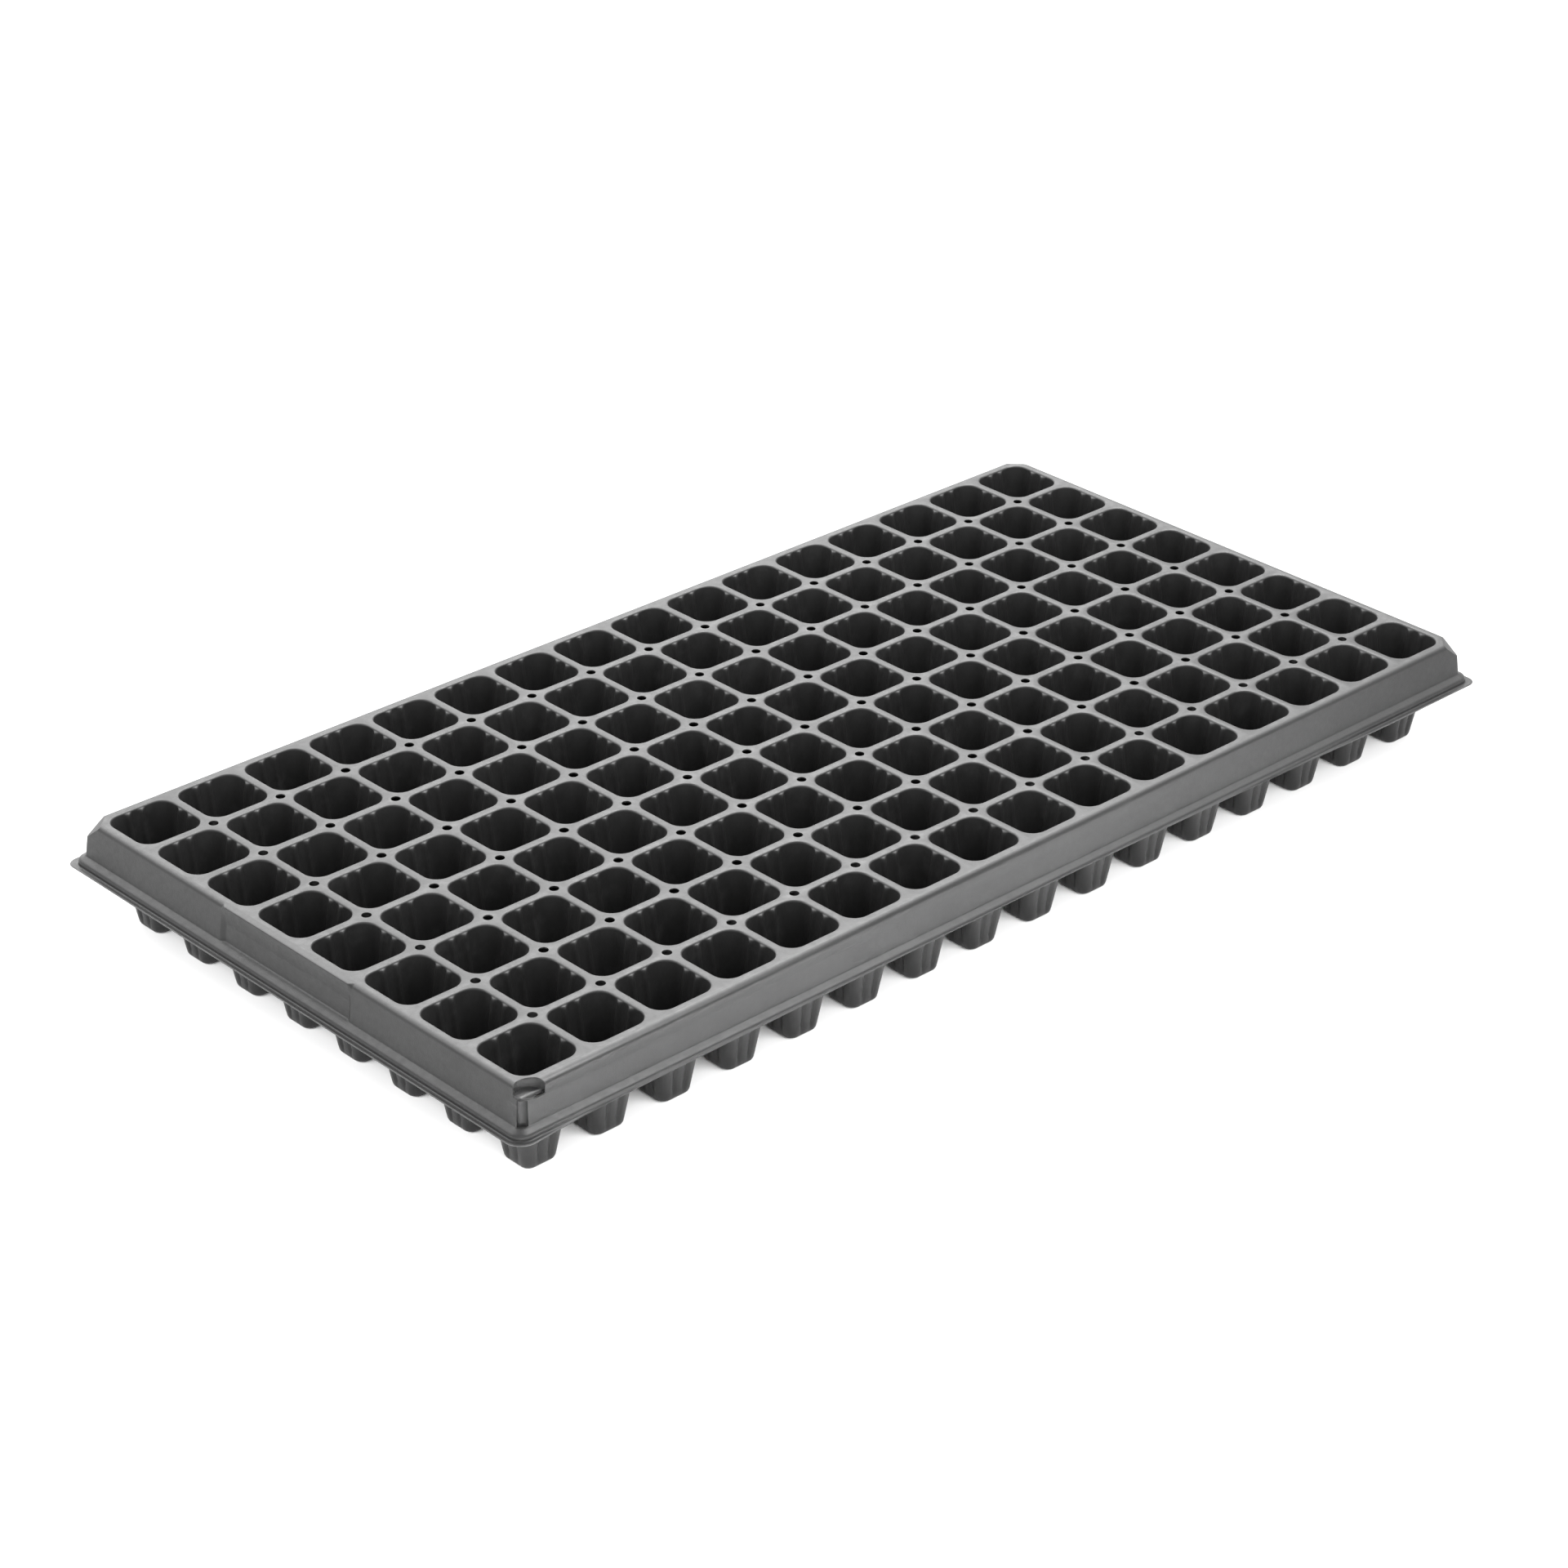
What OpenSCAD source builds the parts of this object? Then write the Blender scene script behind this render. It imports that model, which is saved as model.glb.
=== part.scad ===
// Plug tray for raising seedlings: tapering cells hang from a flat deck inside a skirt with a stepped rim.
// Millimetres. The origin lies under the middle of the tray, on the plane that the cell floors stand on.
// +X runs along the tray, +Y across it and +Z up. Front is -Y and left is -X.

/* [Cells] */
// Cells along the tray
cells_long = 16; // [6:1:20]
// Cells across the tray
cells_wide = 8; // [4:1:10]
// Distance between the centres of neighbouring cells
pitch = 32.5; // [30:0.5:40]
// Width of the straight webs of deck between neighbouring cells
web = 4; // [2:0.1:6]
// Radius of the mouth's corners
mouth_r = 6.6; // [4:0.2:8]
// How far each side of a cell draws in on its way down from the mouth to the foot
cell_draw = 7; // [5:0.2:8]
// Outer corner radius of a cell just above its foot
foot_r = 3.2; // [1.6:0.1:3.4]
// Height of the bevelled foot under each cell
foot_h = 1.6; // [1.2:0.1:3]
// How far the foot's bevel draws in
foot_bevel = 0.8; // [0.4:0.1:1]
// Thickness of the drawn cell walls
cell_wall = 0.6; // [0.4:0.05:0.7]
// Drain hole in each cell floor
drain_d = 8; // [4:0.5:10]
// Vent hole where four cells meet
vent_d = 4; // [2:0.2:5]

/* [Root ribs] */
// Distance between the two ribs on each side of a cell
rib_gap = 6.3; // [5:0.1:7]
// Radius of a rib's crown
rib_r = 1.3; // [1:0.1:1.6]
// How far a rib stands into the cell
rib_rise = 1; // [0.6:0.1:1.2]

/* [Deck and rim] */
// Height of the tray from cell floors to deck
height = 46; // [40:0.5:60]
// Thickness of the deck, skirt and rim
sheet = 0.8; // [0.6:0.1:1.2]
// Width of the deck outside the outer cells
deck_margin = 2.6; // [2:0.1:4]
// Drop from the deck to the ledge at the skirt's foot
skirt_drop = 16.2; // [12:0.2:20]
// How far the skirt spreads on its way down
skirt_flare = 2.2; // [1:0.1:4]
// Width of the ledge at the skirt's foot
ledge_w = 3; // [2:0.1:5]
// Drop from the ledge to the flange
lip_drop = 2.8; // [2:0.1:5]
// Width of the flange outside the lip
flange_w = 2.2; // [1.5:0.1:5]

/* [Corners] */
// Corner radius that the deck's edge would have if its corners were not cut off
deck_corner_r = 0.6; // [0.4:0.1:1.6]
// Distance of the bevel's upper edge inside the corner of the field of cells, along the diagonal
bevel_in = 2.4; // [1.4:0.1:3]
// Depth of the bevel below the deck
bevel_drop = 7; // [5:0.2:9]
// Corner radius of the flange
flange_corner_r = 5; // [3:0.5:7]
// Corner radius of the flange below the seat at the front left corner
seat_flange_r = 8; // [5:0.5:8]
// Distance of the seat's back wall inside the corner of the field of cells, along the diagonal
seat_back = 1.6; // [1:0.1:2.2]
// Depth of the seat below the deck
seat_drop = 6.8; // [5:0.2:9]
// Radius of the groove that runs down the corner from the seat
groove_r = 2.3; // [1.5:0.1:2.6]

/* [Label panel] */
// Width of the raised panel on the left end
panel_w = 75; // [40:1:100]
// How far the panel's top edge stands out of the skirt
panel_rise = 2.5; // [1.5:0.1:3]

/* [Hidden] */
$fn = 64;
plastic = "#2e2e30";

// A cut runs this far past the face that it opens
past = 1;

// Whole numbers of cells, and half sizes of the field that they fill
columns = round(cells_long);
rows = round(cells_wide);
field_x = columns * pitch / 2;
field_y = rows * pitch / 2;

// A cell's outer flats lie foot_half from its axis above the foot and mouth_half under the deck.
// The centres of its rounded corners lean outward from foot_c to mouth_c.
mouth_w = pitch - web;
mouth_half = mouth_w / 2 + cell_wall;
foot_half = mouth_half - cell_draw;
foot_c = foot_half - foot_r;
mouth_c = mouth_w / 2 - mouth_r;
side_h = height - sheet - foot_h;
draft = atan2(mouth_half - foot_half, side_h);
wall_n = cell_wall * cos(draft);
// Half width of the square of deck that a crossing takes up
crossing = pitch / 2 - mouth_c;

// Rim levels, and distances out from the field of cells
ledge_z = height - skirt_drop;
flange_z = ledge_z - lip_drop;
bevel_z = height - bevel_drop;
seat_z = height - seat_drop;
skirt_foot = deck_margin + skirt_flare;
lip_out = skirt_foot + ledge_w;
rim_out = lip_out + flange_w;
// The skirt spreads by this much for each millimetre of drop
spread = skirt_flare / skirt_drop;

// Centre of the arc that each corner of the rim is turned about, along and across from the field's corner
corner_c = deck_margin - deck_corner_r;
// Distance out along the diagonal at which the bevel leaves the corner
bevel_out = corner_c * sqrt(2) + deck_margin + spread * bevel_drop - corner_c;
// Height of the bevel's sheet, measured upright
bevel_sheet = sheet / cos(atan2(bevel_drop, bevel_in + bevel_out));
// The corner pieces of the skirt take in this much of the straight sides, so that each holds a whole cut
corner_len = ceil(max(bevel_in, seat_back + sheet) * sqrt(2) + skirt_foot + past);

// Draws its children at every cell
module at_cells()
    for (i = [0 : columns - 1], j = [0 : rows - 1])
        translate([(i + 0.5) * pitch - field_x, (j + 0.5) * pitch - field_y, 0]) children();

// Trapezoid across x, from half width low at z = 0 to high at z = h, drawn out along y
module taper_slab(low, high, h)
    rotate([90, 0, 0])
        linear_extrude(4 * max(low, high), center = true)
            polygon([[-low, 0], [low, 0], [high, h], [-high, h]]);

// Square block with rounded corners that spreads from half width low to high while its corner centres stand at c
module rounded_taper(low, high, c, h) {
    for (a = [0, 90])
        rotate(a)
            intersection() {
                taper_slab(low, high, h);
                rotate(90) taper_slab(c, c, h);
            }
    for (a = [0 : 90 : 270])
        rotate(a)
            translate([c, c, 0])
                rotate_extrude(angle = 90)
                    polygon([[0, 0], [low - c, 0], [high - c, h], [0, h]]);
}

// Section through one side of a cell, outer face along x = 0: a strip of wall with two ribs on its inner face
module side_section() {
    translate([-wall_n, -mouth_half]) square([wall_n, 2 * mouth_half]);
    intersection() {
        for (s = [-1, 1])
            translate([rib_r - rib_rise - wall_n, s * rib_gap / 2]) circle(rib_r);
        translate([-wall_n / 2 - 2 * rib_r, -mouth_half]) square([2 * rib_r, 2 * mouth_half]);
    }
}

// One flat side of a cell on its +X face, leaning out from the foot to the underside of the deck
module cell_side()
    intersection() {
        translate([foot_half, 0, foot_h])
            rotate([0, draft, 0])
                translate([0, 0, -past])
                    linear_extrude(side_h / cos(draft) + 2 * past) side_section();
        translate([0, 0, foot_h])
            rotate([90, 0, 90])
                linear_extrude(pitch)
                    polygon([[-foot_c, 0], [foot_c, 0], [mouth_c, side_h], [-mouth_c, side_h]]);
    }

// One rounded corner of a cell in its +X +Y quarter: a quarter cone of sheet that leans outward and opens upward
module cell_corner() {
    lean = (mouth_c - foot_c) / side_h;
    translate([foot_c, foot_c, foot_h])
        multmatrix([[1, 0, lean, 0], [0, 1, lean, 0], [0, 0, 1, 0], [0, 0, 0, 1]])
            rotate_extrude(angle = 90)
                polygon([
                    [foot_r - cell_wall, 0],
                    [foot_r, 0],
                    [mouth_r + cell_wall, side_h],
                    [mouth_r, side_h]
                ]);
}

// Floor of a cell: a bevelled foot plate with a drain hole
module cell_floor()
    difference() {
        rounded_taper(foot_half - foot_bevel, foot_half, foot_c, foot_h);
        translate([0, 0, -past]) cylinder(d = drain_d, h = foot_h + 2 * past);
    }

module cell_sides(turn)
    color(plastic) at_cells() rotate(turn) cell_side();

// The corners of all cells that point the way turned to
module cell_corners(turn)
    color(plastic) at_cells() rotate(turn) cell_corner();

module cell_floors()
    color(plastic) at_cells() cell_floor();

// Straight bars of deck between crossings, over lines of cells that start half a pitch from the first edge.
// A bar on the edge of the field is half as wide.
module deck_webs(lines, half, bars, bar_half)
    color(plastic)
        for (i = [0 : lines], j = [0 : bars - 1]) {
            inner = i == 0 ? 0 : -web / 2;
            outer = i == lines ? 0 : web / 2;
            translate([i * pitch - half + inner, (j + 0.5) * pitch - bar_half - mouth_c, height - sheet])
                cube([outer - inner, 2 * mouth_c, sheet]);
        }

module deck_webs_crosswise() deck_webs(columns, field_x, rows, field_y);
module deck_webs_lengthwise() mirror([1, -1, 0]) deck_webs(rows, field_y, columns, field_x);

// The star of deck where four cells meet, cut off at the edge of the field.
// Stars inside the field have a vent, and those at the field's corners end at the bevel or the seat.
module deck_crossings()
    color(plastic)
        for (i = [0 : columns], j = [0 : rows]) {
            side_x = i == 0 ? -1 : i == columns ? 1 : 0;
            side_y = j == 0 ? -1 : j == rows ? 1 : 0;
            low = [side_x < 0 ? 0 : -crossing, side_y < 0 ? 0 : -crossing];
            high = [side_x > 0 ? 0 : crossing, side_y > 0 ? 0 : crossing];
            translate([i * pitch - field_x, j * pitch - field_y, height - sheet])
                linear_extrude(sheet)
                    difference() {
                        translate(low) square(high - low);
                        for (x = [-1, 1], y = [-1, 1])
                            if (x * side_x <= 0 && y * side_y <= 0)
                                translate([x, y] * crossing) circle(mouth_r);
                        if (side_x == 0 && side_y == 0) circle(d = vent_d);
                        if (side_x != 0 && side_y != 0)
                            mirror([side_x > 0 ? 0 : 1, 0])
                                mirror([0, side_y > 0 ? 0 : 1])
                                    beyond_diagonal(side_x < 0 && side_y < 0 ? seat_back + sheet : bevel_in);
                    }
        }

// Section of the rim without its flange: deck margin, skirt, ledge and lip in one bent sheet.
// x is counted out from the field of cells.
module rim_section()
    polygon([
        [0, height],
        [deck_margin, height],
        [skirt_foot, ledge_z],
        [lip_out, ledge_z],
        [lip_out, flange_z - sheet],
        [lip_out - sheet, flange_z - sheet],
        [lip_out - sheet, ledge_z - sheet],
        [skirt_foot - sheet, ledge_z - sheet],
        [skirt_foot - sheet, ledge_z],
        [deck_margin - sheet + spread * sheet, height - sheet],
        [0, height - sheet]
    ]);

// Draws a section out along y, centred
module run(length)
    rotate([90, 0, 0]) linear_extrude(length, center = true) children();

// A straight side of the rim, its section's x = 0 on the edge of the field that lies half away
module rim_side(half, length)
    translate([half, 0, 0]) run(length - 2 * corner_len) rim_section();

// Places its children at the field's corner that points the way sx, sy, drawn for +X +Y
module at_corner(sx, sy)
    mirror([sx > 0 ? 0 : 1, 0, 0])
        mirror([0, sy > 0 ? 0 : 1, 0])
            translate([field_x, field_y, 0]) children();

// Plan of a rounded corner whose sides lie out from the field and whose arc has its centre at c along and across
module corner_plan(out, c) {
    translate([-corner_len, -corner_len]) square([out + corner_len, c + corner_len]);
    translate([-corner_len, -corner_len]) square([c + corner_len, out + corner_len]);
    translate([c, c])
        intersection() {
            circle(out - c);
            square(out - c);
        }
}

// A section turned round the corner's arc, with a stub of each straight side
module corner_sweep() {
    stub = corner_len + corner_c;
    translate([corner_c, corner_c, 0])
        rotate_extrude(angle = 90)
            intersection() {
                translate([-corner_c, 0]) children();
                square([2 * rim_out, 2 * height]);
            }
    translate([0, corner_c - stub / 2, 0]) run(stub) children();
    mirror([1, -1, 0]) translate([0, corner_c - stub / 2, 0]) run(stub) children();
}

// The skirt's corner as a full body
module corner_body()
    corner_sweep()
        polygon([[-corner_len, ledge_z], [skirt_foot, ledge_z], [deck_margin, height], [-corner_len, height]]);

// All of the plane beyond a line across the diagonal, inside the field's corner by back
module beyond_diagonal(back)
    rotate(45) translate([-back, -2 * corner_len]) square(4 * corner_len);

// Room over the bevel, lower by drop
module bevel_hole(drop)
    rotate(45)
        run(4 * corner_len)
            polygon([
                [-bevel_in, height + past],
                [-bevel_in, height - drop],
                [bevel_out, bevel_z - drop],
                [2 * rim_out, bevel_z - drop],
                [2 * rim_out, height + past]
            ]);

// The seat from level low up, its back wall set back further by grow
module seat_hole(low, grow)
    translate([0, 0, low]) linear_extrude(height - low + past) beyond_diagonal(seat_back + grow);

// The groove from the seat's floor down the corner to the ledge, wider by grow
module groove_hole(grow) {
    drop = seat_z - sheet - ledge_z;
    tilt = atan(spread);
    translate([corner_c, corner_c, ledge_z])
        intersection() {
            rotate(45)
                translate([skirt_foot - corner_c, 0, 0])
                    rotate([0, -tilt, 0])
                        translate([0, 0, -past]) cylinder(r = groove_r + grow, h = drop / cos(tilt) + 2 * past);
            translate([-corner_len, -corner_len, 0]) cube([2 * corner_len, 2 * corner_len, drop]);
        }
}

// Corner of the rim without its flange, with room for the bevel, or for the seat and its groove at the front left
module skirt_corner(sx, sy)
    color(plastic)
        at_corner(sx, sy)
            difference() {
                corner_sweep() rim_section();
                if (sx < 0 && sy < 0) {
                    seat_hole(seat_z - sheet, sheet);
                    groove_hole(sheet);
                } else
                    bevel_hole(bevel_sheet);
            }

// Flat plate across a corner
module corner_bevel(sx, sy)
    color(plastic)
        at_corner(sx, sy)
            difference() {
                intersection() {
                    corner_body();
                    bevel_hole(bevel_sheet);
                }
                bevel_hole(0);
            }

// Lining of the front left corner: the seat's floor and back wall, and the groove below it
module corner_seat()
    color(plastic)
        at_corner(-1, -1) {
            difference() {
                intersection() {
                    corner_body();
                    seat_hole(seat_z - sheet, sheet);
                }
                seat_hole(seat_z, 0);
            }
            difference() {
                intersection() {
                    corner_body();
                    groove_hole(sheet);
                }
                groove_hole(0);
            }
        }

module flange_side(half, length)
    color(plastic)
        translate([half + lip_out, corner_len - length / 2, flange_z - sheet])
            cube([flange_w, length - 2 * corner_len, sheet]);

module flange_corner(sx, sy, r)
    color(plastic)
        at_corner(sx, sy)
            translate([0, 0, flange_z - sheet])
                linear_extrude(sheet)
                    difference() {
                        corner_plan(rim_out, rim_out - r);
                        corner_plan(lip_out, corner_c);
                    }

// The panel's outer block, or its hollow when drawn in by the sheet
module panel_block(inset)
    run(panel_w - 2 * inset)
        polygon([
            [0, ledge_z],
            [skirt_foot + panel_rise / 4 - inset, ledge_z],
            [deck_margin + panel_rise - inset, height - inset],
            [0, height - inset]
        ]);

module skirt_front() color(plastic) rotate(-90) rim_side(field_y, 2 * field_x);
module skirt_back() color(plastic) rotate(90) rim_side(field_y, 2 * field_x);
module skirt_right() color(plastic) rim_side(field_x, 2 * field_y);

// The left side is open behind the label panel
module skirt_left()
    color(plastic)
        rotate(180)
            difference() {
                rim_side(field_x, 2 * field_y);
                translate([field_x, 0, 0])
                    intersection() {
                        panel_block(sheet);
                        run(panel_w) polygon([
                            [deck_margin - sheet, ledge_z],
                            [rim_out, ledge_z],
                            [rim_out, height - sheet],
                            [deck_margin - sheet, height - sheet]
                        ]);
                    }
            }

// Raised bare panel: a shallow box of sheet on the outside of the skirt
module label_panel()
    color(plastic)
        rotate(180)
            translate([field_x, 0, 0])
                difference() {
                    panel_block(0);
                    panel_block(sheet);
                    run(panel_w + 2 * past)
                        polygon([[-past, ledge_z], [skirt_foot, ledge_z], [deck_margin, height], [-past, height]]);
                }

cell_sides(-90);  // cell_sides_front
cell_sides(90);  // cell_sides_back
cell_sides(180);  // cell_sides_left
cell_sides(0);  // cell_sides_right
cell_corners(180);  // cell_corners_front_left
cell_corners(-90);  // cell_corners_front_right
cell_corners(90);  // cell_corners_back_left
cell_corners(0);  // cell_corners_back_right
cell_floors();
deck_webs_lengthwise();
deck_webs_crosswise();
deck_crossings();
skirt_front();
skirt_back();
skirt_left();
skirt_right();
skirt_corner(-1, -1);  // skirt_corner_front_left
skirt_corner(1, -1);  // skirt_corner_front_right
skirt_corner(-1, 1);  // skirt_corner_back_left
skirt_corner(1, 1);  // skirt_corner_back_right
corner_bevel(1, -1);  // corner_bevel_front_right
corner_bevel(-1, 1);  // corner_bevel_back_left
corner_bevel(1, 1);  // corner_bevel_back_right
corner_seat();
rotate(-90) flange_side(field_y, 2 * field_x);  // flange_front
rotate(90) flange_side(field_y, 2 * field_x);  // flange_back
rotate(180) flange_side(field_x, 2 * field_y);  // flange_left
flange_side(field_x, 2 * field_y);  // flange_right
flange_corner(-1, -1, seat_flange_r);  // flange_corner_front_left
flange_corner(1, -1, flange_corner_r);  // flange_corner_front_right
flange_corner(-1, 1, flange_corner_r);  // flange_corner_back_left
flange_corner(1, 1, flange_corner_r);  // flange_corner_back_right
label_panel();
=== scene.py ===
"""Looks of the seed tray: black formed sheet with ribbed cells in a stepped rim, seen as in the photo."""

import math

import bmesh
import bpy
import numpy as np
from mathutils import Matrix, Vector


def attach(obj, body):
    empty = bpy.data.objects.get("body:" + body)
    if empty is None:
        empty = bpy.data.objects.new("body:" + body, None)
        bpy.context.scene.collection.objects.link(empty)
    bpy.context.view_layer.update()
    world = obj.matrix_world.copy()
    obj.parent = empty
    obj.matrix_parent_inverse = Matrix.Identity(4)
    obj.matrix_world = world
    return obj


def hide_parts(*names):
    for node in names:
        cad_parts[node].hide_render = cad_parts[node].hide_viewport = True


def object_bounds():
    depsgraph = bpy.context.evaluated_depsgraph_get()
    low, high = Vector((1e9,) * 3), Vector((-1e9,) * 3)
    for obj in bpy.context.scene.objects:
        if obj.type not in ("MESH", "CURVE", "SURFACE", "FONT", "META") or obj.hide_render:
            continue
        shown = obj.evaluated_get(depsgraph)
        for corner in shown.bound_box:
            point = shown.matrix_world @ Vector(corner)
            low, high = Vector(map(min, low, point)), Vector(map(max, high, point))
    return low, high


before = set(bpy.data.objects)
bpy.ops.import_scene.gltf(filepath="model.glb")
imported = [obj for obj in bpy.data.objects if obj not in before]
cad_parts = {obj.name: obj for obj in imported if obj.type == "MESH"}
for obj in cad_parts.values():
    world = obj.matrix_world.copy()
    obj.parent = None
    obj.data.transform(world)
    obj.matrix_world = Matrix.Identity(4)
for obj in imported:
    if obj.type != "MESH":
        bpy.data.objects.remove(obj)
cad_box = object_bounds()

# Lengths are in millimetres and become metres where meshes are made
MM = 0.001
WELD = 0.002
# Points that lie closer than this are the same, in metres
SAME = 1e-7

# Tray
PITCH, COLUMNS, ROWS = 32.5, 16, 8
FIELD_X, FIELD_Y = COLUMNS * PITCH / 2, ROWS * PITCH / 2
TOP = round(cad_box[1][2] / MM, 3)
CELL_SHEET, RIM_SHEET = 0.6, 0.8
CREASE = 50

# Cells: half width, and half length of the straight sides between the round corners
MOUTH_HALF, MOUTH_C = 14.25, 7.65
FOOT_HALF, FOOT_C = 7.25, 4.0
# Round edge of the mouth: radius, and the degrees round it at which a ring lies
MOUTH_R, MOUTH_TURNS = 0.75, (0, 27, 54, 80)
# Height at which the foot's size is given, and the rings of its soft edge: both halves and height
FOOT_TOP = 2.0
FOOT_RINGS = ((7.14, 4.0, 1.72), (6.85, 3.9, 1.12), (6.35, 3.7, 0.76), (5.7, 3.5, 0.62))
DRAIN_R, VENT_R, VENT_POINTS = 4.0, 2.0, 7
CELL_ARC_STEPS, SIDE_STEPS, CUT_STEPS = 10, 3, 4

# Root ribs, two on each wall: place, half width, height and sharpness of the crown
RIB_AT, RIB_HALF, RIB_RISE, RIB_CROWN = 3.15, 2.0, 0.85, 1.8
# Where a straight side's half length is shorter than this, the ribs move closer together
RIB_ROOM = 5.4
# Points across a rib, in half widths
RIB_STEPS = (-1, -0.7, -0.42, -0.18, 0, 0.18, 0.42, 0.7, 1)
# Way down the wall, and the share of the rib's height there
RIB_LEVELS = ((0.12, 0.4), (0.35, 0.75), (0.8, 0.95), (2.0, 1.0), (6, 1.0), (14, 1.0), (24, 1.0), (34, 1.0),
              (40.5, 0.8), (42, 0.35))

# Rim: how far its steps lie out from the field of cells, and their levels, counted from the deck
DECK_MARGIN, SKIRT_FOOT, LIP_OUT, FLANGE_FLAT = 2.6, 4.8, 7.8, 9.3
RIM_OUT = round(cad_box[1][0] / MM - FIELD_X, 3)
SKIRT_END, FLANGE = -16.2, -19.0
UPPER_R, UPPER_STEPS, FILLET_R, FILLET_STEPS = 2.1, 6, 0.5, 3
# A point that holds the deck straight next to its rounding, and the flange's turned down edge
DECK_HOLD, TURN_IN, TURN_DOWN = 0.6, 0.25, 0.2
# Soft stretches below the skirt, as (out, level): hollow at its foot, sloped ledge, crown and lip
HOLLOW = [(4.64, -14.85), (4.68, -15.05), (4.78, -15.2), (4.97, -15.32)]
LEDGE = [(5.5, -15.58), (6.1, -15.88)]
CROWN = [(6.7, -16.19), (7.2, -16.48), (7.55, -16.85), (7.74, -17.4), (7.8, -17.9)]
LIP = [(7.82, -18.2)]
# The levels lie closer where the seat and the shoulder are formed
SKIRT_LEVELS = (-2.0, -2.3, -2.7, -3.3, -4.0, -4.8, -5.7, -6.6, -7.3, -8.2, -10.4, -12.8)

# Places where the section is set along a side
FRONT_POINTS, RIGHT_POINTS = 41, 15

# Corners of the rim: centre of their arcs, length of side that belongs to them, and reach of the cuts there
CORNER_C, CORNER_LEN, CORNER_REACH = 2.0, 12.0, 14.0
FLANGE_CORNER_R = 5.0
LEAD_STEPS, TIP_STEPS = 2, 12
SEAT_CORNER = (-1, -1)
BEVEL_CORNERS = ((1, -1), (1, 1), (-1, 1))
BEVEL_IN, BEVEL_DROP, BEVEL_R, BEVEL_SOFT, BEVEL_SEGMENTS = 2.4, 7.0, 2.0, 0.7, 4

# Round seat in the front left corner: centre from the field's corner, radius, width of its wall and depth
SEAT_X, SEAT_Y, SEAT_R, SEAT_WALL, SEAT_DROP = 0.86, 5.1, 7.2, 0.5, 3.9
SEAT_CUT = CORNER_LEN / 2 / math.sqrt(2)
# Rounding of the floor's edge, by the way out to the left, and how softly the skirt runs into it
SEAT_LIP_AT, SEAT_LIP_R, SEAT_SOFT = (-4.0, -1.0, 2.9, 3.5), (1.3, 1.3, 0.9, 0.4), 0.12
# Levels down to which the faces are refined and the skirt is bent
SEAT_FINE, SEAT_END = -SEAT_DROP - 2, -SEAT_DROP - 5
# Longest edge, and the distance from the seat's wall up to which it holds
SEAT_PASSES, SEAT_TRIES = ((1.6, 3.0), (0.8, 1.5), (0.4, 0.6), (0.2, 0.25)), 3
# Groove below the seat: radius, way toward the front side, and levels
GROOVE_R, GROOVE_SHIFT, GROOVE_TOP, GROOVE_END = 2.4, 0.7, -SEAT_DROP - 1.1, -15.25

# Label panel on the left side: begin and end of both slanted cheeks, place of its face, and depth
PANEL_ENDS = (-36.8, -34.8, 41.2, 43.7)
PANEL_TOP, PANEL_LEAN, PANEL_SINK = 3.4, 0.09, 1.0
# Its crisp upper edge, (out, level) in place of the wide one
PANEL_EDGE = [(1.3, 0.0), (2.0, 0.0), (2.6, 0.0), (3.0, -0.03), (3.22, -0.12), (3.34, -0.3), (3.37, -0.6)]
# Points over a cheek, in widths of the cheek, and the share of soft shape in it
CHEEK_STEPS, CHEEK_SOFT = np.linspace(-0.15, 1.15, 11), 0.4
# Plain stretches of the left side: begin, end and points
LEFT_STRETCHES = ((-110, -45, 5), (-26, 34, 7), (52, 110, 5))

# Front side next to the seat: a crease and a shoulder below the deck, (out, level) in place of the section
SHOULDER = [(0.0, 0.0), (0.6, 0.0), (1.0, -0.03), (1.5, -0.13), (1.9, -0.27), (2.25, -0.45), (2.53, -0.63),
            (2.8, -0.74), (3.12, -0.84), (3.45, -1.06), (3.75, -1.4), (3.93, -1.85), (4.02, -2.5),
            (3.97, -3.7), (3.77, -4.9), (3.62, -5.8)]
# Place along the front side, and how much of the shoulder is there
SHOULDER_X, SHOULDER_SHARE = zip(
    (-236, 1), (-211, 0.75), (-146, 0.6), (-114, 0.5), (-81, 0.3), (49, 0.15), (114, 0))
# Along the front side the flange is folded into a plain lip: place, share of flange, level of the lip's end
FOLD_X, FLANGE_SHARE, LIP_END = zip(
    (-262, 1, -19.2), (-232, 0.15, -19.0), (-205, 0, -18.9), (-110, 0, -18.1), (-15, 0, -17.6),
    (50, 0, -18.0), (115, 0, -18.8), (160, 0.45, -19.0), (205, 1, -19.2))
LIP_BULGE = 0.3


# Helpers

def new_object(name, verts, faces):
    """A smooth mesh object from points in millimetres, with points that nearly meet joined."""
    mesh = bpy.data.meshes.new(name)
    mesh.from_pydata([tuple(v) for v in np.asarray(verts) * MM], [], faces)
    bm = bmesh.new()
    bm.from_mesh(mesh)
    bmesh.ops.remove_doubles(bm, verts=bm.verts, dist=WELD * MM)
    bmesh.ops.dissolve_degenerate(bm, edges=bm.edges, dist=WELD * MM)
    bm.to_mesh(mesh)
    bm.free()
    obj = bpy.data.objects.new(name, mesh)
    bpy.context.scene.collection.objects.link(obj)
    for p in mesh.polygons:
        p.use_smooth = True
    return obj


def loop_faces(rings, count, base=0):
    """Quads between neighbouring closed rings of count points."""
    faces = []
    for r in range(rings - 1):
        a, b = base + r * count, base + (r + 1) * count
        for k in range(count):
            n = (k + 1) % count
            faces.append((a + k, a + n, b + n, b + k))
    return faces


def steps_between(a, b, count):
    """Evenly spaced points from a toward b, without b."""
    a, b = np.array(a, float), np.array(b, float)
    return [tuple(a + (b - a) * t / count) for t in range(count)]


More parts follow.
